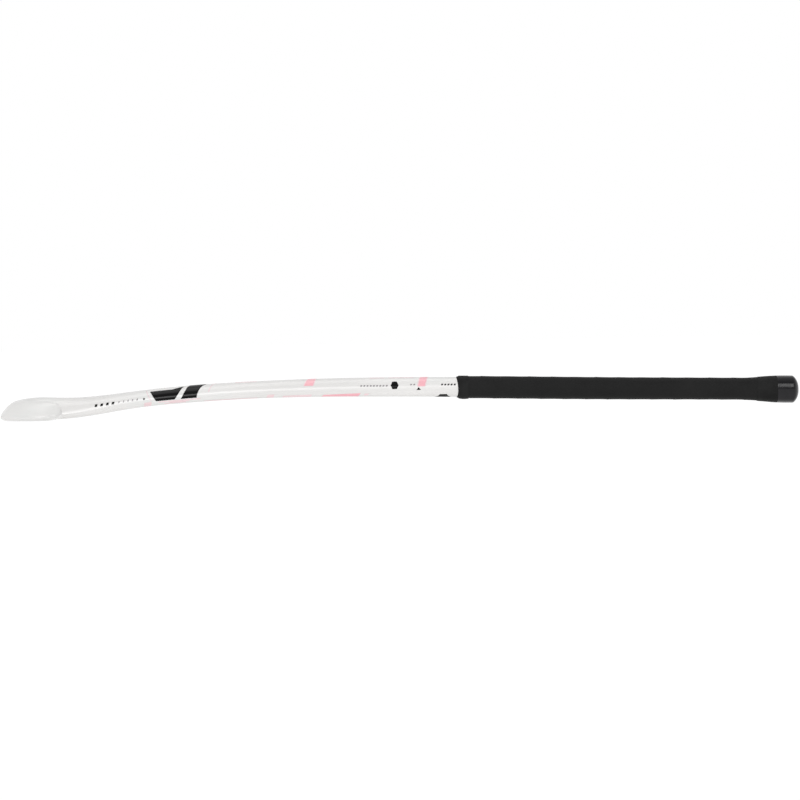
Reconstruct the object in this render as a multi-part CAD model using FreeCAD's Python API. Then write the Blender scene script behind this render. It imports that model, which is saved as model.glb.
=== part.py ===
import FreeCAD, Part
import math
import os

# A right-handed composite field hockey stick, lying on its flat striking face.
# The head is at -X, the butt at +X, the back of the stick is up (+Z) and the toe points to -Y.
# Lengths are in millimetres. A "station" is a distance along the stick's centre line. On the
# straight shaft it is about the distance from the head's end. Round the hook it runs on past
# the hook's start, through zero, to negative values at the toe.

BUTT_END = 928.3               # the head's end is at 1.3, so the stick is 927 mm (36.5 inches)
HOOK_RADIUS = 34.5             # centre line of the hook
HOOK_TURN = math.radians(165)  # how far the hook turns back on itself
HOOK_START = 58.2              # station where the straight shaft meets the hook
TOE_ROUND = 24.0               # length over which the toe's tip is rounded off
TOE_END_SHARE = 0.2            # share of the full width left where the tip is closed off
TOE_END_THICKNESS = 0.25       # share of the thickness that the rounding leaves
TOE_MIDDLE = 0.42              # height of the tip, as a share of the thickness

SKIN = 0.6                     # painted glass-fibre skin
LAMINATE = 2.2                 # carbon laminate
BLADDER = 0.5                  # inflation bladder left in each chamber
FACE_PLY = 1.6                 # stiffening ply behind the striking face
EDGE_PLY = 4.0                 # wear reinforcement in the hook's outer edge
WEB = 2.0                      # rib between the two chambers
GROUND = 0.6                   # depth ground off the striking face to make it flat
GROUND_FADE = (45.0, 110.0)    # the ground face runs out between these stations

FACE_PLY_END = 75.0
HEAD_CORE_END = 150.0          # the head's foam core ends and the hollow chambers begin
CHAMBER_END = 740.0            # the chambers end and the handle's foam plug begins
BODY_END = 921.0               # end of the laminate; the cap's end wall covers it

GRIP_START = 533.0
GRIP_END = 903.0
GRIP_BACKING = 0.5             # felt and foam layer of the grip tape
GRIP_WRAP = 0.45               # polyurethane outer layer of the grip tape
TAPE_START = 529.5
TAPE_WIDTH = 14.0
TAPE = 0.25                    # finishing tape at the grip's lower end, and at its upper end
BUTT_TAPE_START = 880.5

SWELL_START = 860.0            # the cap's skirt widens the handle from here
SWELL_END = 912.0              # to here
SWELL_BACK = 2.7               # how far the swell stands out above and below
SWELL_SIDE = 1.2               # how far it stands out at the sides
CAP_RIB = 0.3                  # height of the cap's ribs
CAP_RIB_PITCH = 2.0
CAP_RIBS = 7
CAP_ROUND = 7.3                # length of the cap's rounded end
CAP_DROP = 10.5                # how far the rounding drops towards the flat end face
CAP_EDGE, CAP_DOME = 1.7, 0.6  # exponents of the rounding: where it starts and where it ends
SPIGOT_RADIUS = 5.0
SPIGOT_DEPTH = 24.0            # how far the cap's spigot reaches into the foam plug

FILM = 0.12                    # printed transfer with its lacquer
SIDE_REACH = 60.0              # further sideways than any piece of the shaft

# Height of the striking side above the floor, and of the back's crest, at stations on the
# shaft. Together they are the bow and the thickness of the stick.
FACE_LINE = [(45, 0.0), (96, 2.3), (150, 10.1), (210, 15.3), (300, 19.0), (370, 19.1),
             (520, 15.6), (700, 10.0), (860, 6.0), (921, 4.2)]
BACK_LINE = [(-45, 24.5), (10, 25.8), (40, 26.0), (84, 24.6), (150, 30.0), (210, 35.2),
             (300, 39.1), (380, 40.4), (520, 39.0), (700, 33.7), (860, 29.4), (921, 27.7)]
WIDTHS = [(-45, 41.0), (4, 44.6), (60, 47.5), (130, 45.0), (210, 40.0), (300, 36.5),
          (400, 34.0), (500, 32.0), (600, 30.4), (700, 30.0), (921, 30.0)]
BUTT_SLOPE = -0.027            # slope of both lines at the butt end

# Control points of half a section, from the middle of the face round to the crest of the
# back, as shares of the half width and of the thickness.
WEDGE = [(0, 0), (0.45, 0), (0.74, 0), (1.04, 0.13), (0.98, 0.29), (0.74, 0.57),
         (0.42, 0.82), (0, 0.97)]
BEVELLED = [(0, 0), (0.45, 0), (0.86, 0), (1.01, 0.08), (1.015, 0.25), (0.80, 0.62),
            (0.50, 0.90), (0, 1.05)]
FLAT_FACED = [(0, 0), (0.45, 0), (0.83, 0), (1.01, 0.12), (1.015, 0.34), (0.97, 0.64),
              (0.60, 0.93), (0, 1.035)]
OVAL = [(0, -0.01), (0.45, 0.02), (0.82, 0.12), (1.0076, 0.34), (1.0076, 0.66), (0.82, 0.88),
        (0.45, 0.98), (0, 1.01)]
WIDEST = 4                     # the widest of these points, counted from the first
WEDGE_FADE = (5.0, 48.0)       # the hook's thin edge thickens between these stations
BEVEL_FADE = (40.0, 140.0)     # then the head's sloping sides turn upright
OVAL_FADE = (430.0, 600.0)     # and the flat-faced shaft turns into the oval handle

SHAFT_STATIONS = [58.2, 72, 90, 110, 130, 155, 180, 210, 250, 300, 350, 400, 450, 500, 540,
                  580, 620, 680, 740, 800, 860, 921]
HOOK_STEPS = 10
TOE_STEPS = 6
CAP_ROUND_STEPS = 9

# Outlines of the printed transfers on the sides of the shaft. Each point is a station and a
# share of the thickness, from the striking side (0) to the crest of the back (1). Outlines
# that go past the crest meet their mirror image there.
PANEL = [[(173, 0.86), (180.5, 0.27), (202, 0.27), (212.5, 0.97), (199, 0.86)],
         [(219.5, 1.1), (209, 0.27), (227.7, 0.27), (231, 0.64), (240, 1.1)]]
EDGE_BLOCKS = [[(166, 0.03), (167, 0.25), (175.5, 0.25), (174.5, 0.03)],
               [(190, 0.06), (190, 0.11), (215, 0.11), (215, 0.06)],
               [(196, 0.115), (196, 0.17), (219, 0.17), (219, 0.115)],
               [(183, 0.175), (183, 0.23), (232, 0.23), (232, 0.175)],
               [(308, 0.03), (310, 0.15), (318, 0.15), (316, 0.03)],
               [(327, 0.03), (329, 0.06), (362, 0.12), (360, 0.03)],
               [(371, 0.03), (374, 0.12), (419.5, 0.19), (416, 0.03)],
               [(421, 0.08), (423, 0.17), (428, 0.17), (426, 0.08)]]
HAIRLINES = [[(174.5, 0.30), (168, 0.93), (168.8, 0.93), (175.3, 0.30)],
             [(241, 0.55), (249.5, 1.1), (250.7, 1.1), (242.2, 0.55)],
             [(272, 0.96), (272, 1.1), (297, 1.1), (297, 0.96)]]
FLASHES = [[(352.5, 0.63), (358, 1.1), (366.5, 1.1), (362.7, 0.63)],
           [(484.8, 0.52), (488.5, 1.1), (496.5, 1.1), (492.5, 0.52)]]
EDGE_MARK = [[(507, 0.02), (511, 0.14), (519, 0.14), (523, 0.02)]]
BADGE = [[(455.2, 0.40), (460.0, 0.40), (462.3, 0.59), (460.0, 0.78), (455.2, 0.78),
          (453.0, 0.59)]]
# On the toe side only: a lozenge, a triangle and rows of dashes. Each row gives its first
# station, pitch, how many, and the dashes' length, height and share of the thickness.
SPOTS = [[(164.6, 0.55), (165.8, 0.61), (167.0, 0.55), (165.8, 0.49)],
         [(483.4, 0.37), (485.5, 0.47), (487.6, 0.37)]]
DASH_ROWS = [(109.0, 6.6, 4, 3.0, 3.0, 0.50), (136.5, 5.3, 5, 1.2, 2.6, 0.50),
             (417.5, 3.7, 9, 1.9, 1.7, 0.57), (475.5, 3.7, 2, 1.9, 1.5, 0.625),
             (511.5, 3.7, 5, 2.0, 1.8, 0.63)]


def smooth_step(value, start, end):
    share = min(max((value - start) / (end - start), 0.0), 1.0)
    return share * share * (3.0 - 2.0 * share)


def knot_slopes(knots, first, last):
    """Slopes that give a curve through the knots an even curvature, with both ends' slopes set."""
    slopes = [first] + [0.0] * (len(knots) - 2) + [last]
    steps = [b[0] - a[0] for a, b in zip(knots, knots[1:])]
    rises = [(b[1] - a[1]) / h for a, b, h in zip(knots, knots[1:], steps)]
    for _ in range(80):
        for i in range(1, len(knots) - 1):
            before, after = 1.0 / steps[i - 1], 1.0 / steps[i]
            pull = 3.0 * (rises[i - 1] * before + rises[i] * after)
            pull -= slopes[i - 1] * before + slopes[i + 1] * after
            slopes[i] = pull / (2.0 * (before + after))
    return slopes


def curve_through(knots, first=0.0, last=0.0):
    """A smooth function through the knots. Outside them it keeps the end values."""
    slopes = knot_slopes(knots, first, last)

    def value(station):
        if station <= knots[0][0]:
            return knots[0][1]
        if station >= knots[-1][0]:
            return knots[-1][1]
        i = max(k for k in range(len(knots) - 1) if knots[k][0] <= station)
        (x0, y0), (x1, y1) = knots[i], knots[i + 1]
        h = x1 - x0
        t = (station - x0) / h
        rise = y0 * (1 + 2 * t) * (1 - t) ** 2 + y1 * t * t * (3 - 2 * t)
        return rise + h * (slopes[i] * t * (1 - t) ** 2 - slopes[i + 1] * t * t * (1 - t))

    return value


face_line = curve_through(FACE_LINE, last=BUTT_SLOPE)
back_line = curve_through(BACK_LINE, last=BUTT_SLOPE)
width_at = curve_through(WIDTHS)
TOE_CLOSES = WIDTHS[0][0]      # station where the toe's tip starts to close


def centre_line(station):
    """The centre line's point and the sideways direction, towards the heel side, at a station."""
    if station >= HOOK_START:
        return (station, 0.0), (0.0, 1.0)
    turn = min((HOOK_START - station) / HOOK_RADIUS, HOOK_TURN)
    side = (-math.sin(turn), math.cos(turn))
    x = HOOK_START + HOOK_RADIUS * side[0]
    y = HOOK_RADIUS * (side[1] - 1.0)
    past = HOOK_START - station - turn * HOOK_RADIUS
    return (x - past * side[1], y + past * side[0]), side


def body_size(station, inset):
    """Half width, lowest height and highest height of the body's section, inset all round."""
    half = width_at(station) / 2.0 - inset
    low = face_line(station) + inset
    high = back_line(station) - inset
    if station < TOE_CLOSES:
        reach = (TOE_CLOSES - station) / (TOE_ROUND - inset)
        share = math.sqrt(max(1.0 - reach * reach, 0.0))
        thickness = TOE_END_THICKNESS + (1.0 - TOE_END_THICKNESS) * share
        middle = low + TOE_MIDDLE * (high - low)
        half *= share
        low = middle + (low - middle) * thickness
        high = middle + (high - middle) * thickness
    return half, low, high


def half_outline(station):
    """Control points of half a section at a station, blended from the four kinds."""
    bevelled = smooth_step(station, *WEDGE_FADE)
    upright = smooth_step(station, *BEVEL_FADE)
    oval = smooth_step(station, *OVAL_FADE)
    weights = (1.0 - bevelled, bevelled - upright, upright - oval, oval)
    points = []
    for corners in zip(WEDGE, BEVELLED, FLAT_FACED, OVAL):
        points.append([sum(w * c[i] for w, c in zip(weights, corners)) for i in (0, 1)])
    return points


def section(station, half, low, high):
    """One closed section across the stick, as one edge over the back and one under the face."""
    (x, y), side = centre_line(station)
    outline = [(a * half, low + b * (high - low)) for a, b in half_outline(station)]
    outline += [(-across, height) for across, height in reversed(outline[1:-1])]
    poles = [FreeCAD.Vector(x + side[0] * a, y + side[1] * a, z) for a, z in outline]
    # The closed curve starts at its second pole, so the poles are turned round to start and
    # end it at the widest point of the heel side.
    curve = Part.BSplineCurve()
    curve.buildFromPoles(poles[WIDEST - 1:] + poles[:WIDEST - 1], True, 3)
    toe_side = 1.0 - 2.0 * WIDEST / len(poles)
    edges = []
    for start, end in ((0.0, toe_side), (toe_side, 1.0)):
        piece = curve.copy()
        piece.segment(start, end)
        edges.append(piece.toShape())
    return Part.Wire(edges)


def body_stations(inset):
    """Stations from the butt to the toe tip, closer together where the shape turns."""
    hook = [HOOK_START - HOOK_RADIUS * HOOK_TURN * i / HOOK_STEPS for i in range(1, HOOK_STEPS)]
    hook = [s for s in hook if s > TOE_CLOSES + 3.0]
    last = math.pi / 2 - math.asin(TOE_END_SHARE)
    turns = [last * i / TOE_STEPS for i in range(TOE_STEPS + 1)]
    toe = [TOE_CLOSES - (TOE_ROUND - inset) * math.sin(turn) for turn in turns]
    return SHAFT_STATIONS[::-1] + hook + toe


def body_solid(inset, ground=0.0):
    wires = []
    for station in body_stations(inset):
        half, low, high = body_size(station, inset)
        low -= ground * (1.0 - smooth_step(station, *GROUND_FADE))
        wires.append(section(station, half, low, high))
    return Part.makeLoft(wires, True)


def swell(station):
    """How far the cap's skirt has widened the handle, as a share of the whole swell."""
    return smooth_step(station, SWELL_START, SWELL_END)


def sleeve_solid(stations, growth, ruled=False):
    """A solid round the handle: the body's size plus the swell plus growth(station)."""
    wires = []
    for station in stations:
        half, low, high = body_size(station, 0.0)
        extra = growth(station)
        up = swell(station) * SWELL_BACK + extra
        out = swell(station) * SWELL_SIDE + extra
        wires.append(section(station, half + out, low - up, high + up))
    return Part.makeLoft(wires, True, ruled)


def between(start, end, y_low=-200.0, y_high=200.0, z_low=-50.0, z_high=100.0):
    """A block with the given limits, used to trim pieces."""
    size = (end - start, y_high - y_low, z_high - z_low)
    return Part.makeBox(*size, FreeCAD.Vector(start, y_low, z_low))


def hook_cylinder(radius):
    base = FreeCAD.Vector(HOOK_START, -HOOK_RADIUS, -50.0)
    return Part.makeCylinder(radius, 150.0, base)


def shells(solids):
    """The skin and the laminate: each is what one body size leaves outside the next."""
    return {
        "outer_skin": solids["outside"].cut(solids["under_skin"]),
        "carbon_laminate": solids["under_skin"].cut(solids["inside"]),
    }


def head_pieces(inside):
    """Foam core, striking-face ply and edge reinforcement, which fill the head."""
    wall = SKIN + LAMINATE
    head = inside.common(between(-20.0, HEAD_CORE_END))
    face_block = between(-20.0, FACE_PLY_END, z_high=wall + FACE_PLY)
    face_ply = head.common(face_block)
    rest = head.cut(face_block)
    ring = between(-20.0, HOOK_START + 4.0).cut(
        hook_cylinder(HOOK_START - wall - EDGE_PLY))
    return {
        "face_ply": face_ply,
        "hook_edge_ply": rest.common(ring),
        "head_core": rest.cut(ring),
    }


def shaft_pieces(inside, bladder_inside):
    """The rib down the middle of the hollow shaft and the bladder in each chamber."""
    pieces = {}
    half = WEB / 2.0
    chambers = {"heel_side": (half, SIDE_REACH), "toe_side": (-SIDE_REACH, -half)}
    pieces["centre_web"] = inside.common(between(HEAD_CORE_END, CHAMBER_END, -half, half))
    for name, (low, high) in chambers.items():
        chamber = inside.common(between(HEAD_CORE_END, CHAMBER_END, low, high))
        inner = (low + BLADDER, high) if low > 0 else (low, high - BLADDER)
        air = bladder_inside.common(between(HEAD_CORE_END + BLADDER, CHAMBER_END, *inner))
        pieces["bladder_" + name] = chamber.cut(air)
    return pieces


def spigot():
    middle = (face_line(BODY_END) + back_line(BODY_END)) / 2.0
    base = FreeCAD.Vector(BODY_END - SPIGOT_DEPTH, 0.0, middle)
    return Part.makeCylinder(SPIGOT_RADIUS, SPIGOT_DEPTH + 2.0, base, FreeCAD.Vector(1, 0, 0))


def cap_growth(station):
    """Outside of the cap's bare end: level with the grip, with ribs, then rounded off."""
    level = GRIP_BACKING + GRIP_WRAP + TAPE
    first = GRIP_END + CAP_RIB_PITCH / 2.0
    last = first + CAP_RIBS * CAP_RIB_PITCH
    if first < station < last:
        level += CAP_RIB * math.sin(math.pi * (station - first) / CAP_RIB_PITCH) ** 2
    if station > BUTT_END - CAP_ROUND:
        reach = (station - BUTT_END + CAP_ROUND) / CAP_ROUND
        level -= CAP_DROP * (1.0 - (1.0 - reach ** CAP_EDGE) ** CAP_DOME)
    return level


def butt_cap(outside):
    """Rubber cap: a skirt under the grip, a ribbed end and a spigot in the foam plug."""
    skirt = sleeve_solid([SWELL_START + 4, 872, 884, 894, GRIP_END], lambda station: 0.0)
    round_from = BUTT_END - CAP_ROUND
    step = CAP_RIB_PITCH / 4.0
    rib_steps = range(round((round_from - GRIP_END) / step) + 1)
    ribs = sleeve_solid([GRIP_END + step * i for i in rib_steps], cap_growth)
    turns = [math.pi / 2 * i / CAP_ROUND_STEPS for i in range(CAP_ROUND_STEPS + 1)]
    rounding = [round_from + CAP_ROUND * math.sin(turn) for turn in turns]
    end = sleeve_solid(rounding, cap_growth, ruled=True)
    cap = skirt.fuse([ribs, end]).cut(outside)
    return cap.fuse(spigot()).removeSplitter()


def grip_pieces(outside, cap):
    """The two layers of the grip tape and the finishing tapes over their two ends."""
    stations = [GRIP_START, 545, 580, 620, 680, 740, 800, 850, 862, 872, 884, 894, GRIP_END]
    backing = sleeve_solid(stations, lambda station: GRIP_BACKING)
    wrap = sleeve_solid(stations, lambda station: GRIP_BACKING + GRIP_WRAP)
    tape_stations = [TAPE_START, GRIP_START, TAPE_START + TAPE_WIDTH / 2, TAPE_START + TAPE_WIDTH]
    lift = [TAPE, GRIP_BACKING + GRIP_WRAP + TAPE]

    def tape_growth(station):
        share = smooth_step(station, TAPE_START, GRIP_START)
        return lift[0] + (lift[1] - lift[0]) * share

    tape = sleeve_solid(tape_stations, tape_growth)
    butt_tape = sleeve_solid([BUTT_TAPE_START, 886, 892, 898, GRIP_END], lambda station: lift[1])
    return {
        "grip_backing": backing.cut(outside).cut(cap),
        "grip_wrap": wrap.cut(backing),
        "finishing_tape": tape.cut(wrap).cut(outside),
        "butt_tape": butt_tape.cut(wrap),
    }


def height_at(station, share):
    low, high = face_line(station), back_line(station)
    return low + share * (high - low)


def side_patch(film, points, side):
    """The part of the transfer film inside an outline on the toe side (-1) or heel side (1)."""
    corners = [FreeCAD.Vector(station, 0.0, height) for station, height in points]
    outline = Part.Face(Part.makePolygon(corners + corners[:1]))
    return film.common(outline.extrude(FreeCAD.Vector(0.0, side * SIDE_REACH, 0.0)))


def outline_patches(film, outlines, sides=(-1, 1)):
    """The same outlines on both sides of the shaft, or on the given ones."""
    patches = []
    for outline in outlines:
        points = [(station, height_at(station, share)) for station, share in outline]
        patches += [side_patch(film, points, side) for side in sides]
    return patches


def dashes(film):
    patches = []
    for first, pitch, count, length, height, share in DASH_ROWS:
        for i in range(count):
            start = first + i * pitch
            end = start + length
            low = height_at((start + end) / 2.0, share) - height / 2.0
            high = low + height
            corners = [(start, low), (end, low), (end, high), (start, high)]
            patches.append(side_patch(film, corners, -1))
    return patches


def transfers(outside):
    """Printed films on the outer skin, under the lacquer."""
    film = body_solid(-FILM, GROUND).cut(outside)
    groups = {
        "panel_transfer": outline_patches(film, PANEL),
        "edge_transfer": outline_patches(film, EDGE_BLOCKS + HAIRLINES),
        "flash_transfer": outline_patches(film, FLASHES),
        "edge_mark_transfer": outline_patches(film, EDGE_MARK),
        "badge_transfer": outline_patches(film, BADGE),
        "dash_transfer": outline_patches(film, SPOTS, (-1,)) + dashes(film),
    }
    return {name: Part.makeCompound(patches) for name, patches in groups.items()}


def placed(pieces):
    """The pieces moved sideways so that the origin is under the middle of the whole stick."""
    box = FreeCAD.BoundBox()
    for shape in pieces.values():
        box.add(shape.optimalBoundingBox(False))
    middle = FreeCAD.Vector(box.Center.x, box.Center.y, 0.0)
    return {name: shape.translated(middle.negative()) for name, shape in pieces.items()}


def main():
    solids = {
        "outside": body_solid(0.0, GROUND).cut(between(-50.0, 200.0, z_low=-60.0, z_high=0.0)),
        "under_skin": body_solid(SKIN),
        "inside": body_solid(SKIN + LAMINATE),
        "bladder_inside": body_solid(SKIN + LAMINATE + BLADDER),
    }
    pieces = shells(solids)
    pieces.update(head_pieces(solids["inside"]))
    pieces.update(shaft_pieces(solids["inside"], solids["bladder_inside"]))
    plug = solids["inside"].common(between(CHAMBER_END, BODY_END + 1.0))
    pieces["handle_plug"] = plug.cut(spigot())
    pieces["butt_cap"] = butt_cap(solids["outside"])
    pieces.update(grip_pieces(solids["outside"], pieces["butt_cap"]))
    pieces.update(transfers(solids["outside"]))
    os.makedirs("parts", exist_ok=True)
    for name, shape in placed(pieces).items():
        print(name, len(shape.Solids), "solids", round(shape.Volume), "mm3")
        Part.makeCompound(shape.Solids).exportStep("parts/" + name + ".step")


main()
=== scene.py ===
import math

import bmesh
import bpy
import numpy as np
from mathutils import Euler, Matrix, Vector


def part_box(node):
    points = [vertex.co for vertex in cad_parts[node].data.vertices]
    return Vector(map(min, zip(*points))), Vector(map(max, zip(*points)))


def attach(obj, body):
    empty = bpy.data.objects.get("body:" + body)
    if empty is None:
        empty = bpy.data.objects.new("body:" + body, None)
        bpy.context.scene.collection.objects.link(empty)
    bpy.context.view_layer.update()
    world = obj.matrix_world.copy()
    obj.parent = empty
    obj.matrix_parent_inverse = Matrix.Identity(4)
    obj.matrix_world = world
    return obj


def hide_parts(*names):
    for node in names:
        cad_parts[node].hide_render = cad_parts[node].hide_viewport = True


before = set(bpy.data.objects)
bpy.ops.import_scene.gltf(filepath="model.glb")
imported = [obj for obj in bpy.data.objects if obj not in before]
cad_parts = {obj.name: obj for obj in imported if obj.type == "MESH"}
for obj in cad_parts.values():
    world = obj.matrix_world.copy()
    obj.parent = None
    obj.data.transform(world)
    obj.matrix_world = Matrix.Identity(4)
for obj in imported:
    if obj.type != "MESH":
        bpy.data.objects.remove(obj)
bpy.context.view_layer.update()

# Looks of a field hockey stick that lies on its striking face. The shapes are worked out in
# millimetres along the stick's centre line, as the CAD model does, and are turned into metres
# in the frame when a mesh is made. A station is a distance along the centre line. On the
# straight shaft it is about the distance from the head's end, and round the hook it runs on
# past the hook's start, through zero, to negative values at the toe. A turn is a place round
# the section: 0 is the crest of the back, -1 and 1 are the middle of the striking side, and
# the toe side is negative.

MM = 0.001                   # metres in a millimetre
BUTT_END = 928.3             # the head's end is at 1.3, so the stick is 927 mm (36.5 inches)
HOOK_RADIUS = 34.5           # centre line of the hook
HOOK_TURN = math.radians(165)          # how far the hook turns back on itself
HOOK_START = 58.2            # station where the straight shaft meets the hook
TOE_ROUND = 24.0             # length over which the toe's tip is rounded off
TOE_END_SHARE = 0.03         # share of the full width left where the tip is closed off
TOE_END_THICKNESS = 0.25     # share of the thickness that the rounding leaves
TOE_MIDDLE = 0.42            # height of the tip, as a share of the thickness
BODY_END = 921.0             # end of the laminate, which the cap covers
GROUND = 0.6                 # depth ground off the striking face to make it flat
GROUND_FADE = (45.0, 110.0)  # the ground face runs out between these stations

GRIP_START, GRIP_END = 533.0, 903.0
GRIP_BACKING = 0.5           # felt layer under the grip's wrap
GRIP_THICKNESS = 1.25        # both layers
GRIP_PITCH = 26.4            # how far the wound grip moves on in one turn
GRIP_DRIFT, GRIP_DRIFT_LENGTH = 0.06, 37.0  # slow drift of the winding, in turns, and its length
GRIP_LAP = 0.28              # how far each turn stands out over the last one
GRIP_LAP_RISE = 0.03         # share of a turn over which the lap rises
GRIP_LAP_FADE = 9.0          # how fast it fades after that, for each turn
GRIP_SINK, GRIP_WAVE = 0.12, 0.05      # how far the rest sinks, and the height of its wave

TAPE = 0.25                  # thickness of both finishing tapes
TAPE_START, TAPE_END = 529.5, 543.5
TAPE_HOLLOW = 1.9            # how far its edge is drawn in at the stick's sides
TAPE_CLEARANCE = 0.1         # keeps it over the wound grip
TAPE_LUMP = 0.7              # height of its bulge under the stick
LUMP_STATION, LUMP_LENGTH = 538.0, 5.0
BUTT_TAPE_START = 880.5
BUTT_TAPE_SLANT = 1.3        # how far its edge wanders along the stick
BUTT_TAPE_RIPPLE = 0.03
TAPE_WALL, BUTT_TAPE_WALL = 0.3, 0.4   # thickness of the sleeves, which reach into the grip

SWELL_START, SWELL_END = 860.0, 912.0  # the cap's skirt widens the handle between these
SWELL_BACK, SWELL_SIDE = 2.7, 1.2      # by this much above and below, and at the sides
CAP_RIB, CAP_RIB_PITCH, CAP_RIBS = 0.07, 2.0, 7
CAP_ROUND, CAP_DROP = 7.3, 12.5        # length and depth of the cap's rounded end
CAP_EDGE, CAP_DOME = 1.7, 0.6          # exponents: where the rounding starts and where it ends
FILM, FILM_ROOT = 0.10, 0.08           # the print's height over the skin, and depth under it

# Heights of the striking side and of the back's crest, and full widths, at stations.
FACE_LINE = [(45, 0.0), (96, 2.3), (150, 10.1), (210, 15.3), (300, 19.0), (370, 19.1),
             (520, 15.6), (700, 10.0), (860, 6.0), (921, 4.2)]
BACK_LINE = [(-45, 24.5), (10, 25.8), (40, 26.0), (84, 24.6), (150, 30.0), (210, 35.2),
             (300, 39.1), (380, 40.4), (520, 39.0), (700, 33.7), (860, 29.4), (921, 27.7)]
WIDTHS = [(-45, 41.0), (4, 44.6), (60, 47.5), (130, 45.0), (210, 40.0), (300, 36.5),
          (400, 34.0), (500, 32.0), (600, 30.4), (700, 30.0), (921, 30.0)]
BUTT_SLOPE = -0.027          # slope of both lines at the butt end

# Control points of half a section, from the middle of the face round to the crest of the back,
# as shares of the half width and of the thickness. Each kind of section turns into the next
# one between the two stations of its fade.
WEDGE = [(0, 0), (0.45, 0), (0.74, 0), (1.04, 0.13), (0.98, 0.29), (0.74, 0.57),
         (0.42, 0.82), (0, 0.97)]
BEVELLED = [(0, 0), (0.45, 0), (0.86, 0), (1.01, 0.08), (1.015, 0.25), (0.80, 0.62),
            (0.50, 0.90), (0, 1.05)]
FLAT_FACED = [(0, 0), (0.45, 0), (0.83, 0), (1.01, 0.12), (1.015, 0.34), (0.97, 0.64),
              (0.60, 0.93), (0, 1.035)]
OVAL = [(0, -0.01), (0.45, 0.02), (0.82, 0.12), (1.0076, 0.34), (1.0076, 0.66), (0.82, 0.88),
        (0.45, 0.98), (0, 1.01)]
WEDGE_FADE, BEVEL_FADE, OVAL_FADE = (5.0, 48.0), (40.0, 140.0), (430.0, 600.0)

# Prints, by stations and by shares of the thickness. A pair of stations is an edge's place at
# its low and at its high end. Films must not overlap.
CREST = 1.1                  # any share over 1 reaches the crest of the back
FLASHES = [((352.5, 358), (362.7, 366.5), 0.63), ((484.8, 488.5), (492.5, 496.5), 0.54)]
FLASH_RIM = 1.1              # paler rim along both sides of a flash
FILM_GAP = 0.04              # between two films side by side
DASH_SLANT = 0.6
# Rows of dashes: first station, pitch, count, length, low and high share, and whether dark.
DASH_ROWS = [(109.0, 6.6, 4, 3.0, 0.43, 0.57, True), (136.5, 5.3, 5, 1.2, 0.44, 0.56, False),
             (417.5, 3.7, 9, 1.9, 0.53, 0.61, False), (475.5, 3.7, 2, 1.9, 0.59, 0.66, False),
             (511.5, 3.7, 5, 2.0, 0.59, 0.67, True)]

# The meshes: rings of points, points round a ring, and steps along the stick.
SKIN_AROUND, TOE_RINGS = 140, 26
HEAD_STEP, SHAFT_STEP = 1.5, 3.0
SHAFT_STEP_START = 150.0     # the head's steps change to the shaft's here
GRIP_RINGS, GRIP_AROUND = 440, 110
TAPE_RINGS, BUTT_TAPE_RINGS, TAPE_AROUND = 36, 40, 120
CAP_STEP, CAP_ROUND_RINGS, CAP_AROUND = 0.2, 28, 140
GIRTH_POINTS = 400           # round half a section, to look up a height
SHARP_ANGLE = math.radians(40)

# The studio and the view, in metres, watts and degrees.
VIEW_WIDTH = 0.934           # width of the view at the shaft
VIEW_STATION = 463.5         # the view's middle, in millimetres along the stick
VIEW_HEIGHT = 0.0133
VIEW_DISTANCE = 3.5
VIEW_ELEVATION = 1.2
VIEW_ROLL = 1.27
SENSOR = 36.0                # millimetres
FLOOR_GLOW = 0.95
FLOOR_HALF = 40.0
FLOOR_DROP = 0.0002          # keeps the floor just clear of the striking face
ROOM = [(0.18, 1.0), (0.42, 0.76)]     # the room's grey at two heights of the direction
TOE_WALL = [(0.2, 1.0), (0.7, 0.40)]   # the same, at two shares of the way to the toe side
# Softboxes: place, target, width and height, and power.
SOFTBOXES = {
    "front_softbox": ((-0.75, -2.2, 1.0), (-0.4, 0, 0.02), (1.6, 0.66), 28.0),
    "top_softbox": ((-0.5, 0.3, 2.0), (-0.2, 0, 0.02), (1.8, 1.0), 8.0),
    "butt_softbox": ((0.55, -0.65, 0.30), (0.45, 0, 0.02), (0.32, 0.28), 1.4),
}

# The frame gives the place of the model's zero station and of the shaft's middle.
CAP_LOW, CAP_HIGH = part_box("butt_cap")
X_ZERO = CAP_HIGH.x - BUTT_END * MM
Y_ZERO = (CAP_LOW.y + CAP_HIGH.y) / 2.0


# ---------------------------------------------------------------- shape of the stick

def smooth_step(value, start, end):
    share = np.clip((np.asarray(value, float) - start) / (end - start), 0.0, 1.0)
    return share * share * (3.0 - 2.0 * share)


def curve_through(knots, end_slope=0.0):
    """A smooth function through the knots, which starts level and ends with a slope."""
    x, y = np.array(knots, float).T
    h = np.diff(x)
    rise = np.diff(y) / h
    size = len(x)
    matrix, right = np.eye(size), np.zeros(size)
    right[-1] = end_slope
    for i in range(1, size - 1):
        before, after = 1.0 / h[i - 1], 1.0 / h[i]
        matrix[i, i - 1:i + 2] = before, 2.0 * (before + after), after
        right[i] = 3.0 * (rise[i - 1] * before + rise[i] * after)
    slope = np.linalg.solve(matrix, right)

    def value(station):
        s = np.clip(station, x[0], x[-1])
        i = np.clip(np.searchsorted(x, s, side="right") - 1, 0, size - 2)
        t = (s - x[i]) / h[i]
        level = y[i] * (1 + 2 * t) * (1 - t) ** 2 + y[i + 1] * t * t * (3 - 2 * t)
        return level + h[i] * (slope[i] * t * (1 - t) ** 2 - slope[i + 1] * t * t * (1 - t))

    return value


face_line = curve_through(FACE_LINE, BUTT_SLOPE)
back_line = curve_through(BACK_LINE, BUTT_SLOPE)
width_at = curve_through(WIDTHS)
TOE_CLOSES = WIDTHS[0][0]      # the toe's rounding starts here
POLES = 2 * (len(OVAL) - 1)


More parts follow.
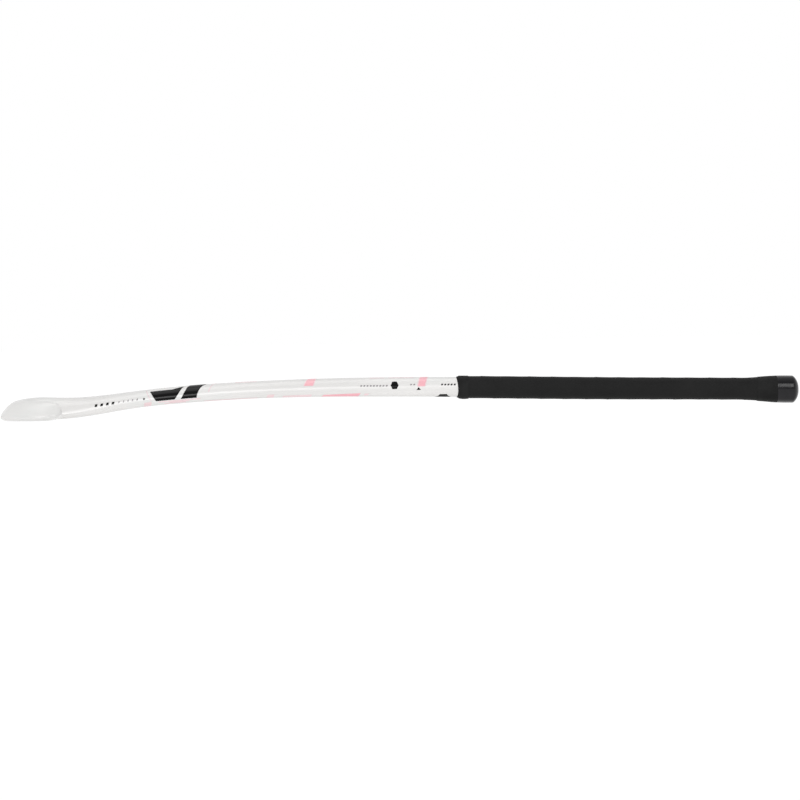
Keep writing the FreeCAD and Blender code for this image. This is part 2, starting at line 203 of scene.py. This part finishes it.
def centre_line(station):
    """Centre points and sideways directions, towards the heel side, at stations."""
    turn = np.clip((HOOK_START - station) / HOOK_RADIUS, 0.0, HOOK_TURN)
    side = np.stack([-np.sin(turn), np.cos(turn)], -1)
    past = HOOK_START - station - turn * HOOK_RADIUS
    x = HOOK_START + HOOK_RADIUS * side[..., 0] - past * side[..., 1]
    y = HOOK_RADIUS * (side[..., 1] - 1.0) + past * side[..., 0]
    return np.stack([x, y], -1), side


def body_size(station, inset=0.0):
    """Half width, lowest height and highest height of the body's section, inset all round."""
    half = width_at(station) / 2.0 - inset
    low = face_line(station) + inset - GROUND * (1.0 - smooth_step(station, *GROUND_FADE))
    high = back_line(station) - inset
    reach = np.clip((TOE_CLOSES - station) / (TOE_ROUND - inset), 0.0, 1.0)
    share = np.sqrt(1.0 - reach * reach)
    thickness = TOE_END_THICKNESS + (1.0 - TOE_END_THICKNESS) * share
    middle = low + TOE_MIDDLE * (high - low)
    return half * share, middle + (low - middle) * thickness, middle + (high - middle) * thickness


def handle_size(station, growth):
    """The same round the handle: the body, the cap's swell and a growth in millimetres."""
    half, low, high = body_size(station)
    swell = smooth_step(station, SWELL_START, SWELL_END)
    out, up = swell * SWELL_SIDE + growth, swell * SWELL_BACK + growth
    return half + out, low - up, high + up


def spline_weights(places):
    """Weights of the section's control points at places counted in control points."""
    first = np.floor(places).astype(int)
    t = places - first
    weights = np.zeros(places.shape + (POLES,))
    parts = [(1 - t) ** 3, 3 * t ** 3 - 6 * t ** 2 + 4, -3 * t ** 3 + 3 * t ** 2 + 3 * t + 1, t ** 3]
    for offset, part in zip((-1, 0, 1, 2), parts):
        np.add.at(weights, (*np.indices(places.shape), (first + offset) % POLES), part / 6.0)
    return weights


def section_poles(station):
    """Control points round the section, as shares of the half width and the thickness."""
    bevelled, upright, oval = [smooth_step(station, *fade)[..., None, None]
                               for fade in (WEDGE_FADE, BEVEL_FADE, OVAL_FADE)]
    half = np.array(WEDGE) * (1.0 - bevelled) + np.array(BEVELLED) * (bevelled - upright)
    half = half + np.array(FLAT_FACED) * (upright - oval) + np.array(OVAL) * oval
    mirrored = half[..., -2:0:-1, :] * np.array([-1.0, 1.0])
    return np.concatenate([half, mirrored], -2)


def surface(station, turn, size):
    """Points in the frame, in metres, on the surface with this half width, bottom and top."""
    station, turn = np.broadcast_arrays(np.asarray(station, float), np.asarray(turn, float))
    places = (1.0 - turn) * (POLES / 2)
    shares = np.einsum("...p,...pk->...k", spline_weights(places), section_poles(station))
    half, low, high = size
    middle, side = centre_line(station)
    flat = middle + side * (shares[..., 0] * half)[..., None]
    height = np.maximum(low + shares[..., 1] * (high - low), 0.0)
    x = X_ZERO + flat[..., 0] * MM
    y = Y_ZERO + flat[..., 1] * MM
    return np.stack([x, y, height * MM], -1)


def turn_at(station, share, side):
    """The turn with this share of the thickness on the toe side (-1) or heel side (1).

    Shares over 1 give the crest of the back."""
    girth = np.linspace(0.0, 1.0, GIRTH_POINTS)
    heights = surface(station, -girth, body_size(station))[..., 2] / MM
    low, high = face_line(station), back_line(station)
    return side * float(np.interp(-(low + share * (high - low)), -heights, girth))


# ---------------------------------------------------------------- meshes

def add_mesh(name, points, faces, material, smooth=True):
    mesh = bpy.data.meshes.new(name)
    mesh.from_pydata([tuple(p) for p in points], [], faces)
    mesh.materials.append(material)
    mesh.polygons.foreach_set("use_smooth", [smooth] * len(mesh.polygons))
    piece = bpy.data.objects.new(name, mesh)
    bpy.context.scene.collection.objects.link(piece)
    return piece


def add_solid(name, points, faces, material):
    """A closed mesh with its normals out and its sharp edges marked."""
    piece = add_mesh(name, points, faces, material)
    work = bmesh.new()
    work.from_mesh(piece.data)
    bmesh.ops.recalc_face_normals(work, faces=work.faces)
    work.to_mesh(piece.data)
    work.free()
    piece.data.set_sharp_from_angle(angle=SHARP_ANGLE)
    return piece


def ring_grid(stations, around):
    """Stations and turns of a grid of points round the stick."""
    turns = np.linspace(-1.0, 1.0, around, endpoint=False)
    return np.meshgrid(stations, turns, indexing="ij")


def grid_faces(rows, columns, closed_rows=False, closed_columns=False, start=0):
    """Quads between the points of a grid that is stored row by row."""
    faces = []
    for i in range(rows if closed_rows else rows - 1):
        for j in range(columns if closed_columns else columns - 1):
            a, b = i * columns, ((i + 1) % rows) * columns
            k = (j + 1) % columns
            faces.append((start + a + j, start + a + k, start + b + k, start + b + j))
    return faces


def tube(name, rings, material):
    """A closed solid through rings of points, with a fan of triangles at each end."""
    rows, around = rings.shape[:2]
    points = np.concatenate([rings.reshape(-1, 3), [rings[0].mean(0), rings[-1].mean(0)]])
    faces = grid_faces(rows, around, closed_columns=True)
    count = rows * around
    for j in range(around):
        k = (j + 1) % around
        faces.append((count, k, j))
        faces.append((count + 1, count - around + j, count - around + k))
    return add_solid(name, points, faces, material)


def shell(name, outer, inner, material):
    """A closed sleeve between outer and inner rings of points."""
    rings = np.concatenate([outer, inner[::-1]])
    rows, around = rings.shape[:2]
    faces = grid_faces(rows, around, closed_rows=True, closed_columns=True)
    return add_solid(name, rings.reshape(-1, 3), faces, material)


def patch_points(patch, lift):
    """A grid of points over a printed patch, at a height over the skin."""
    rows, columns = patch["grid"]
    across = np.linspace(0.0, 1.0, columns)
    bow = patch["bow"] * 4.0 * across * (1.0 - across)
    left, right = [a + (b - a) * across for a, b in (patch["left"], patch["right"])]
    along = np.linspace(0.0, 1.0, rows)[:, None]
    left = left + patch["left_bow"] * bow
    stations = left + (right + bow - left) * along
    low, high = [a + (b - a) * along for a, b in (patch["low"], patch["high"])]
    return surface(stations, low + (high - low) * across, body_size(stations, -lift))


def film_piece(name, patches, material):
    """Thin printed films that follow the skin, one closed solid for each patch."""
    points, faces = [], []
    for patch in patches:
        rows, columns = patch["grid"]
        start, count = len(points), rows * columns
        points += list(patch_points(patch, FILM).reshape(-1, 3))
        points += list(patch_points(patch, -FILM_ROOT).reshape(-1, 3))
        sheet = grid_faces(rows, columns, start=start)
        faces += sheet
        faces += [tuple(i + count for i in reversed(face)) for face in sheet]
        rim = list(range(columns))
        rim += [i * columns + columns - 1 for i in range(1, rows)]
        rim += [(rows - 1) * columns + j for j in range(columns - 2, -1, -1)]
        rim += [i * columns for i in range(rows - 2, 0, -1)]
        for a, b in zip(rim, rim[1:] + rim[:1]):
            faces.append((start + b, start + a, start + a + count, start + b + count))
    return add_solid(name, points, faces, material)


def band(left, right, low, high, grid=(12, 8), side=-1, bow=0.0, left_bow=0.0):
    """A patch between shares of the thickness on one side of the stick.

    left and right are an edge's stations at its low and its high end. low and high are one
    share, or one for the left end and one for the right end. bow moves the middle of the right
    edge along the stick, and left_bow is the share of it that the left edge moves."""
    middle = (left[0] + right[0]) / 2.0
    low, high = [tuple(turn_at(middle, share, side) for share in np.broadcast_to(shares, 2))
                 for shares in (low, high)]
    return {"left": left, "right": right, "low": low, "high": high, "grid": grid,
            "bow": bow, "left_bow": left_bow}


def shifted(edge, distance):
    return [station + distance for station in edge]


# ---------------------------------------------------------------- materials

class Nodes:
    """Short calls that build one material's node tree."""

    def __init__(self, name):
        self.material = bpy.data.materials.new(name)
        self.material.use_nodes = True
        self.tree = self.material.node_tree
        self.tree.nodes.clear()
        self.output = self.add("ShaderNodeOutputMaterial")
        self.shader = self.add("ShaderNodeBsdfPrincipled")
        self.link(self.shader.outputs[0], self.output.inputs[0])
        self.place = self.add("ShaderNodeTexCoord").outputs["Object"]

    def add(self, kind, **settings):
        node = self.tree.nodes.new(kind)
        for key, value in settings.items():
            setattr(node, key, value)
        return node

    def link(self, source, target):
        self.tree.links.new(source, target)

    def set(self, **values):
        for key, value in values.items():
            self.shader.inputs[key.replace("_", " ")].default_value = value

    def noise(self, scale, detail=3.0, roughness=0.5, stretch=None):
        node = self.add("ShaderNodeTexNoise")
        node.inputs["Scale"].default_value = scale
        node.inputs["Detail"].default_value = detail
        node.inputs["Roughness"].default_value = roughness
        self.link(self.stretched(stretch), node.inputs["Vector"])
        return node.outputs["Fac"]

    def stretched(self, stretch):
        if stretch is None:
            return self.place
        mapping = self.add("ShaderNodeMapping")
        mapping.inputs["Scale"].default_value = stretch
        self.link(self.place, mapping.inputs["Vector"])
        return mapping.outputs[0]

    def ramp(self, source, stops):
        node = self.add("ShaderNodeValToRGB")
        elements = node.color_ramp.elements
        while len(elements) < len(stops):
            elements.new(0.5)
        for element, (position, colour) in zip(elements, stops):
            element.position = position
            element.color = (*colour, 1.0)
        self.link(source, node.inputs[0])
        return node.outputs[0]

    def mix(self, share, first, second, blend="MIX"):
        node = self.add("ShaderNodeMix", data_type="RGBA", blend_type=blend)
        self.put(share, node.inputs[0])
        self.put(first, node.inputs[6])
        self.put(second, node.inputs[7])
        return node.outputs[2]

    def math(self, operation, first, second=0.0):
        node = self.add("ShaderNodeMath", operation=operation)
        self.put(first, node.inputs[0])
        self.put(second, node.inputs[1])
        return node.outputs[0]

    def remap(self, source, low, high, out_low, out_high):
        node = self.add("ShaderNodeMapRange")
        self.link(source, node.inputs[0])
        for index, value in enumerate((low, high, out_low, out_high), 1):
            node.inputs[index].default_value = value
        return node.outputs[0]

    def put(self, value, socket):
        if isinstance(value, bpy.types.NodeSocket):
            self.link(value, socket)
        elif isinstance(value, tuple):
            socket.default_value = (*value, 1.0)
        else:
            socket.default_value = value

    def colour(self, source):
        self.link(source, self.shader.inputs["Base Color"])

    def roughness(self, source):
        self.link(source, self.shader.inputs["Roughness"])

    def bump(self, height, strength, distance):
        node = self.add("ShaderNodeBump")
        node.inputs["Strength"].default_value = strength
        node.inputs["Distance"].default_value = distance
        self.link(height, node.inputs["Height"])
        self.link(node.outputs[0], self.shader.inputs["Normal"])


def lacquered(name, low, high, coat=0.5, gloss=0.3, haze=0.10):
    """Print or paint under clear lacquer: faint mottling, fine grain and orange peel."""
    n = Nodes(name)
    mottle = n.noise(22.0, 4.0, 0.55)
    n.colour(n.ramp(mottle, [(0.35, low), (0.65, high)]))
    n.roughness(n.remap(n.noise(140.0, 5.0), 0.3, 0.7, 0.30, 0.44))
    n.bump(n.noise(420.0, 2.0), 0.05, 0.0004)
    n.set(Coat_Weight=coat, Coat_Roughness=haze, Specular_IOR_Level=gloss)
    return n.material


def pearl_white():
    """White pearl paint: cool and warm drifts, fine pearl flake, clear lacquer on top."""
    n = Nodes("pearl_white_lacquer")
    drift = n.ramp(n.noise(9.0, 3.0, 0.5, (1.0, 2.5, 2.5)), [
        (0.30, (0.669, 0.66, 0.645)), (0.52, (0.708, 0.698, 0.684)), (0.72, (0.679, 0.689, 0.674))])
    flake = n.ramp(n.noise(2600.0, 1.0), [(0.35, (0.912, 0.912, 0.921)), (0.65, (1.0, 1.0, 1.0))])
    n.colour(n.mix(1.0, drift, flake, "MULTIPLY"))
    n.roughness(n.remap(n.noise(60.0, 6.0), 0.3, 0.7, 0.34, 0.46))
    n.bump(n.noise(380.0, 2.0), 0.04, 0.0004)
    n.set(Coat_Weight=0.6, Coat_Roughness=0.23, Specular_IOR_Level=0.3)
    return n.material


def grip_rubber():
    """Charcoal polyurethane grip: fine pebbled grain, faint dust and rubbed places."""
    n = Nodes("charcoal_grip")
    grain = n.noise(1500.0, 3.0, 0.6)
    cells = n.add("ShaderNodeTexVoronoi", feature="SMOOTH_F1")
    cells.inputs["Scale"].default_value = 1300.0
    n.link(n.place, cells.inputs["Vector"])
    rubbed = n.noise(26.0, 5.0, 0.6)
    base = n.ramp(rubbed, [(0.35, (0.009, 0.009, 0.009)), (0.68, (0.015, 0.015, 0.015))])
    n.colour(n.mix(n.remap(grain, 0.35, 0.7, 0.0, 0.5), base, (0.005, 0.005, 0.005)))
    n.roughness(n.remap(rubbed, 0.3, 0.7, 0.62, 0.80))
    height = n.math("ADD", n.math("MULTIPLY", cells.outputs["Distance"], 0.7), grain)
    n.bump(height, 0.5, 0.00025)
    n.set(Specular_IOR_Level=0.12)
    return n.material


def black_vinyl(name, smoothest, roughest, gloss):
    n = Nodes(name)
    n.colour(n.ramp(n.noise(45.0, 4.0), [(0.35, (0.008, 0.008, 0.008)), (0.7, (0.014, 0.014, 0.014))]))
    n.roughness(n.remap(n.noise(260.0, 3.0), 0.3, 0.7, smoothest, roughest))
    n.bump(n.noise(900.0, 2.0, 0.5, (0.3, 1.0, 1.0)), 0.15, 0.0002)
    n.set(Specular_IOR_Level=gloss)
    return n.material


def cap_rubber():
    n = Nodes("glossy_cap_rubber")
    n.colour(n.ramp(n.noise(70.0, 4.0), [(0.35, (0.007, 0.007, 0.008)), (0.7, (0.012, 0.011, 0.013))]))
    n.roughness(n.remap(n.noise(180.0, 4.0), 0.3, 0.7, 0.12, 0.20))
    n.bump(n.noise(700.0, 2.0), 0.08, 0.0003)
    n.set(Specular_IOR_Level=0.24)
    return n.material


def carbon():
    """Bare carbon cloth: a fine twill of two yarn directions under resin."""
    n = Nodes("bare_carbon_laminate")
    waves = []
    for angle in (45, -45):
        mapping = n.add("ShaderNodeMapping")
        mapping.inputs["Rotation"].default_value = (0, 0, math.radians(angle))
        n.link(n.place, mapping.inputs["Vector"])
        wave = n.add("ShaderNodeTexWave", wave_type="BANDS")
        wave.inputs["Scale"].default_value = 160.0
        n.link(mapping.outputs[0], wave.inputs["Vector"])
        waves.append(wave.outputs["Fac"])
    weave = n.math("MULTIPLY", *waves)
    n.colour(n.ramp(weave, [(0.1, (0.010, 0.010, 0.011)), (0.8, (0.055, 0.055, 0.058))]))
    n.roughness(n.remap(weave, 0.0, 1.0, 0.30, 0.55))
    n.bump(weave, 0.3, 0.0002)
    return n.material


def fibre_ply(name, low, high):
    n = Nodes(name)
    yarn = n.noise(900.0, 2.0, 0.5, (0.08, 1.0, 1.0))
    n.colour(n.ramp(yarn, [(0.35, low), (0.65, high)]))
    n.roughness(n.remap(yarn, 0.3, 0.7, 0.5, 0.75))
    n.bump(yarn, 0.4, 0.0003)
    return n.material


def foam(name, low, high):
    n = Nodes(name)
    cells = n.add("ShaderNodeTexVoronoi")
    cells.inputs["Scale"].default_value = 700.0
    n.link(n.place, cells.inputs["Vector"])
    n.colour(n.ramp(cells.outputs["Distance"], [(0.1, low), (0.6, high)]))
    n.roughness(n.remap(n.noise(60.0), 0.3, 0.7, 0.8, 0.95))
    n.bump(cells.outputs["Distance"], 0.5, 0.0005)
    return n.material


PEARL = pearl_white()
BLACK_PRINT = lacquered("black_print", (0.003, 0.003, 0.003), (0.005, 0.005, 0.005),
                        coat=0.21, gloss=0.03, haze=0.04)
PINK_PRINT = lacquered("pink_print", (0.75, 0.36, 0.41), (0.80, 0.42, 0.465))
SOFT_PINK_PRINT = lacquered("soft_pink_print", (0.70, 0.53, 0.55), (0.75, 0.59, 0.61))
GREY_PRINT = lacquered("grey_print", (0.20, 0.19, 0.20), (0.27, 0.25, 0.26))
GRIP = grip_rubber()
VINYL = black_vinyl("lower_vinyl_tape", 0.60, 0.74, 0.10)
BUTT_VINYL = black_vinyl("upper_vinyl_tape", 0.58, 0.70, 0.10)
CAP = cap_rubber()


# ---------------------------------------------------------------- pieces

def placed(piece, slot, *nodes):
    """Ride the piece on the stick's body, in place of the frame's nodes. The slot is not used."""
    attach(piece, "root")
    if nodes:
        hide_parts(*nodes)


def skin():
    """The painted skin of the head, the shaft and the handle, as one closed solid."""
    closing = np.linspace(math.acos(TOE_END_SHARE), 0.0, TOE_RINGS)
    toe = TOE_CLOSES - TOE_ROUND * np.sin(closing)
    head = np.arange(TOE_CLOSES + HEAD_STEP, SHAFT_STEP_START, HEAD_STEP)
    shaft = np.arange(SHAFT_STEP_START, BODY_END, SHAFT_STEP)
    stations, turns = ring_grid(np.concatenate([toe, head, shaft, [BODY_END]]), SKIN_AROUND)
    rings = surface(stations, turns, body_size(stations))
    placed(tube("outer_skin_fine", rings, PEARL), "skin", "outer_skin")


def grip_growth(station, turn):
    """The wound tape: each turn laps over the last one, which leaves a low uneven step."""
    drift = GRIP_DRIFT * np.sin(station / GRIP_DRIFT_LENGTH)
    wound = (station - GRIP_START) / GRIP_PITCH + turn / 2.0 + drift
    number = np.floor(wound)
    phase = wound - number
    uneven = 0.6 + 0.4 * np.sin(number * 2.3)
    lap = np.exp(-phase * GRIP_LAP_FADE) * smooth_step(phase, 0.0, GRIP_LAP_RISE) * uneven
    wave = GRIP_WAVE * np.sin(2.0 * math.pi * phase + 0.6)
    return GRIP_THICKNESS - GRIP_SINK + GRIP_LAP * lap + wave


def grip():
    stations, turns = ring_grid(np.linspace(GRIP_START, GRIP_END, GRIP_RINGS), GRIP_AROUND)
    outer = surface(stations, turns, handle_size(stations, grip_growth(stations, turns)))
    inner = surface(stations, turns, handle_size(stations, GRIP_BACKING))
    placed(shell("grip_wrap_fine", outer, inner, GRIP), "grip", "grip_wrap")


def finishing_tape():
    """Tape over the grip's lower end. Its edge is hollow, and it bulges under the stick."""
    stations, turns = ring_grid(np.linspace(TAPE_START, TAPE_END, TAPE_RINGS), TAPE_AROUND)
    share = (stations - TAPE_START) / (TAPE_END - TAPE_START)
    stations = stations + TAPE_HOLLOW * np.sin(math.pi * turns) ** 2 * (1.0 - share)
    rise = smooth_step(share, 0.0, 0.25)
    lump = TAPE_LUMP * smooth_step(np.abs(turns), 0.6, 0.9)
    lump = lump * np.exp(-((stations - LUMP_STATION) / LUMP_LENGTH) ** 2)
    growth = TAPE + (GRIP_THICKNESS + TAPE_CLEARANCE) * rise + lump
    outer = surface(stations, turns, handle_size(stations, growth))
    inner = surface(stations, turns, handle_size(stations, growth - TAPE_WALL))
    placed(shell("finishing_tape_fine", outer, inner, VINYL), "tape", "finishing_tape")


def butt_tape():
    """Smooth tape over the grip's upper end, with an uneven lower edge."""
    along = np.linspace(BUTT_TAPE_START, GRIP_END, BUTT_TAPE_RINGS)
    stations, turns = ring_grid(along, TAPE_AROUND)
    share = (GRIP_END - stations) / (GRIP_END - BUTT_TAPE_START)
    stations = stations + BUTT_TAPE_SLANT * np.sin(math.pi * turns + 0.5) * share
    ripple = BUTT_TAPE_RIPPLE * np.sin(turns * 9.0 + stations / 3.0)
    growth = GRIP_THICKNESS + TAPE + ripple
    outer = surface(stations, turns, handle_size(stations, growth))
    inner = surface(stations, turns, handle_size(stations, growth - BUTT_TAPE_WALL))
    placed(shell("butt_tape_fine", outer, inner, BUTT_VINYL), "tape", "butt_tape")


def cap_growth(station):
    """How far the cap stands out over the body: its ribs, and its rounded end."""
    first = GRIP_END + CAP_RIB_PITCH / 2.0
    last = first + CAP_RIBS * CAP_RIB_PITCH
    wave = np.sin(math.pi * (station - first) / CAP_RIB_PITCH) ** 2
    ribs = np.where((station > first) & (station < last), CAP_RIB * wave, 0.0)
    reach = np.clip((station - BUTT_END + CAP_ROUND) / CAP_ROUND, 0.0, 1.0)
    drop = CAP_DROP * (1.0 - (1.0 - reach ** CAP_EDGE) ** CAP_DOME)
    return GRIP_THICKNESS + TAPE + ribs - drop


def cap():
    """The rubber cap, with rings that draw together towards its end."""
    ribs = np.arange(GRIP_END, BUTT_END - CAP_ROUND, CAP_STEP)
    quarter = np.linspace(0.0, math.pi / 2, CAP_ROUND_RINGS)
    rounding = BUTT_END - CAP_ROUND * (1.0 - np.sin(quarter))
    stations, turns = ring_grid(np.concatenate([ribs, rounding]), CAP_AROUND)
    rings = surface(stations, turns, handle_size(stations, cap_growth(stations)))
    placed(tube("butt_cap_fine", rings, CAP), "cap_rubber", "butt_cap")


def panels():
    """A black panel on each side, in two parts with a slanted gap between them."""
    black = []
    for side in (-1, 1):
        black.append(band((180.5, 173), (197, 199), 0.27, 0.86, (16, 16), side))
        black.append(band((197, 199), (202, 212.5), 0.27, (0.86, 0.97), (10, 16), side))
        black.append(band((209, 219.5), (227.7, 240), 0.27, CREST, (20, 24), side, bow=-3.2))
    placed(film_piece("panel_film", black, BLACK_PRINT), "black_print", "panel_transfer")


def edge_blocks():
    """Pink strips near the lower edge and on the crest, thin lines, and the flashes' rims."""
    strong, soft = [], []
    for side in (-1, 1):
        strong.append(band((372, 375), (414.5, 418), 0.03, (0.12, 0.19), (20, 8), side))
        soft.append(band((166, 167), (174.5, 175.5), 0.03, 0.25, side=side))
        soft.append(band((190, 190), (215, 215), 0.06, 0.11, (12, 4), side))
        soft.append(band((196, 196), (219, 219), 0.115, 0.17, (12, 4), side))
        soft.append(band((183, 183), (232, 232), 0.175, 0.23, (16, 4), side))
        soft.append(band((236, 236), (297, 299), 0.02, 0.06, (20, 4), side))
        soft.append(band((308, 310), (316, 318), 0.02, 0.20, side=side))
        soft.append(band((326, 328), (359.5, 361.5), 0.02, (0.11, 0.15), (16, 6), side))
        soft.append(band((421, 423), (426, 428), 0.08, 0.17, side=side))
        soft.append(band((174.5, 168), (175.3, 168.8), 0.30, 0.93, (3, 16), side))
        soft.append(band((241, 249.5), (242.2, 250.7), 0.55, CREST, (3, 16), side, bow=-1.5,
                         left_bow=1.0))
        soft.append(band((272, 272), (297, 297), 0.96, CREST, (12, 8), side))
        soft.append(band((428, 429.5), (445, 446.5), 0.955, 0.982, (12, 4), side))
        soft.append(band((450, 451.5), (479, 480.5), 0.955, 0.982, (16, 4), side))
        for left, right, low in FLASHES:
            rim = shifted(left, -FLASH_RIM), shifted(left, -FILM_GAP)
            soft.append(band(*rim, low, CREST, (3, 16), side))
            rim = shifted(right, FILM_GAP), shifted(right, FLASH_RIM)
            soft.append(band(*rim, low, CREST, (3, 16), side))
    placed(film_piece("edge_film", strong, PINK_PRINT), "pink_print", "edge_transfer")
    placed(film_piece("soft_edge_film", soft, SOFT_PINK_PRINT), "pink_print")


def flashes():
    """Slanted pink flashes that run up both sides and meet on the crest."""
    patches = []
    for side in (-1, 1):
        for left, right, low in FLASHES:
            patches.append(band(left, right, low, CREST, (8, 16), side))
    placed(film_piece("flash_film", patches, PINK_PRINT), "pink_print", "flash_transfer")


def marks():
    """Rows of dashes, a triangle and a lozenge on the toe side, and a bar at both lower edges."""
    dark, grey = [], []
    for first, pitch, count, length, low, high, is_dark in DASH_ROWS:
        for i in range(count):
            start = first + i * pitch
            left = (start, start + DASH_SLANT)
            right = (start + length, start + length + DASH_SLANT)
            (dark if is_dark else grey).append(band(left, right, low, high, (4, 4)))
    dark.append(band((482.9, 485.2), (488.1, 485.8), 0.36, 0.48, (4, 6)))
    dark.append(band((165.1, 166.4), (167.9, 166.6), 0.48, 0.55, (4, 4)))
    dark.append(band((166.4, 165.1), (166.6, 167.9), 0.41, 0.48, (4, 4)))
    placed(film_piece("dash_film", dark, BLACK_PRINT), "grey_print", "dash_transfer")
    placed(film_piece("fine_dash_film", grey, GREY_PRINT), "grey_print")
    bars = [band((504, 510), (523, 518), 0.01, 0.15, (12, 8), side) for side in (-1, 1)]
    placed(film_piece("edge_mark_film", bars, BLACK_PRINT), "black_print", "edge_mark_transfer")


def badge():
    """A hexagon on each side, made of two halves."""
    patches = []
    for side in (-1, 1):
        patches.append(band((455.2, 453.0), (460.0, 462.3), 0.40, 0.59, (8, 8), side))
        patches.append(band((453.0, 455.2), (462.3, 460.0), 0.59, 0.78, (8, 8), side))
    placed(film_piece("badge_film", patches, BLACK_PRINT), "black_print", "badge_transfer")


def inner_nodes():
    """Sealed pieces that only show where the stick is cut open."""
    aramid = fibre_ply("resin_bonded_aramid", (0.50, 0.38, 0.10), (0.70, 0.56, 0.20))
    felt = fibre_ply("grey_grip_felt", (0.22, 0.22, 0.22), (0.33, 0.33, 0.33))
    nylon = fibre_ply("nylon_film", (0.62, 0.62, 0.60), (0.72, 0.72, 0.70))
    weave = carbon()
    looks = {
        "carbon_laminate": weave, "centre_web": weave, "face_ply": aramid,
        "hook_edge_ply": aramid, "grip_backing": felt,
        "bladder_heel_side": nylon, "bladder_toe_side": nylon,
        "head_core": foam("rigid_head_foam", (0.60, 0.54, 0.40), (0.76, 0.70, 0.55)),
        "handle_plug": foam("plug_foam", (0.62, 0.50, 0.28), (0.80, 0.68, 0.44)),
    }
    for name, material in looks.items():
        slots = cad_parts[name].data.materials
        if slots:
            slots[0] = material
        else:
            slots.append(material)


# ---------------------------------------------------------------- studio

def area_light(name, place, target, size, power):
    data = bpy.data.lights.new(name, "AREA")
    data.shape = "RECTANGLE"
    data.size, data.size_y = size
    data.energy = power
    lamp = bpy.data.objects.new(name, data)
    lamp.location = place
    lamp.rotation_euler = (Vector(target) - Vector(place)).to_track_quat("-Z", "Y").to_euler()
    lamp.visible_camera = False
    bpy.context.scene.collection.objects.link(lamp)


def studio_world():
    """A plain pale room: white round the horizon, greyer overhead and on the toe side (-Y)."""
    world = bpy.data.worlds.new("studio")
    world.use_nodes = True
    tree = world.node_tree
    split = tree.nodes.new("ShaderNodeSeparateXYZ")
    toward_toe = tree.nodes.new("ShaderNodeMath")
    toward_toe.operation = "MULTIPLY"
    toward_toe.inputs[1].default_value = -1.0
    both = tree.nodes.new("ShaderNodeVectorMath")
    both.operation = "MULTIPLY"
    tree.links.new(tree.nodes.new("ShaderNodeTexCoord").outputs["Generated"], split.inputs[0])
    tree.links.new(split.outputs["Y"], toward_toe.inputs[0])
    tree.links.new(both.outputs[0], tree.nodes["Background"].inputs[0])
    for source, stops, target in ((split.outputs["Z"], ROOM, both.inputs[0]),
                                  (toward_toe.outputs[0], TOE_WALL, both.inputs[1])):
        ramp = tree.nodes.new("ShaderNodeValToRGB")
        tree.links.new(source, ramp.inputs[0])
        tree.links.new(ramp.outputs[0], target)
        for element, (position, level) in zip(ramp.color_ramp.elements, stops):
            element.position = position
            element.color = (level, level, level, 1.0)
    bpy.context.scene.world = world


def pale_floor():
    """A pale floor. Most of its white is its own glow, so that shadows on it stay faint."""
    n = Nodes("pale_floor")
    n.colour(n.ramp(n.noise(2.0), [(0.3, (0.12, 0.12, 0.12)), (0.7, (0.13, 0.13, 0.13))]))
    n.set(Roughness=0.9, Specular_IOR_Level=0.0, Emission_Strength=FLOOR_GLOW)
    n.set(Emission_Color=(1.0, 1.0, 1.0, 1.0))
    corners = [(x * FLOOR_HALF, y * FLOOR_HALF, 0) for x, y in ((-1, -1), (1, -1), (1, 1), (-1, 1))]
    floor = add_mesh("floor", corners, [(0, 1, 2, 3)], n.material, smooth=False)
    floor.location.z = -FLOOR_DROP


def studio():
    pale_floor()
    studio_world()
    for name, settings in SOFTBOXES.items():
        area_light(name, *settings)


def camera():
    data = bpy.data.cameras.new("camera")
    data.sensor_width = SENSOR
    data.lens = SENSOR * VIEW_DISTANCE / VIEW_WIDTH
    data.clip_end = 100.0
    eye = bpy.data.objects.new("camera", data)
    rise = math.radians(VIEW_ELEVATION)
    target = Vector((X_ZERO + VIEW_STATION * MM, Y_ZERO, VIEW_HEIGHT))
    back = Vector((0.0, -math.cos(rise), math.sin(rise)))
    eye.location = target + back * VIEW_DISTANCE
    turn = Euler((math.pi / 2 - rise, 0.0, 0.0)).to_matrix()
    roll = Euler((0.0, 0.0, math.radians(-VIEW_ROLL))).to_matrix()
    eye.rotation_euler = (turn @ roll).to_euler()
    bpy.context.scene.collection.objects.link(eye)
    bpy.context.scene.camera = eye


skin()
grip()
finishing_tape()
butt_tape()
cap()
panels()
edge_blocks()
flashes()
marks()
badge()
inner_nodes()
studio()
camera()
bpy.context.scene.view_settings.view_transform = "Standard"
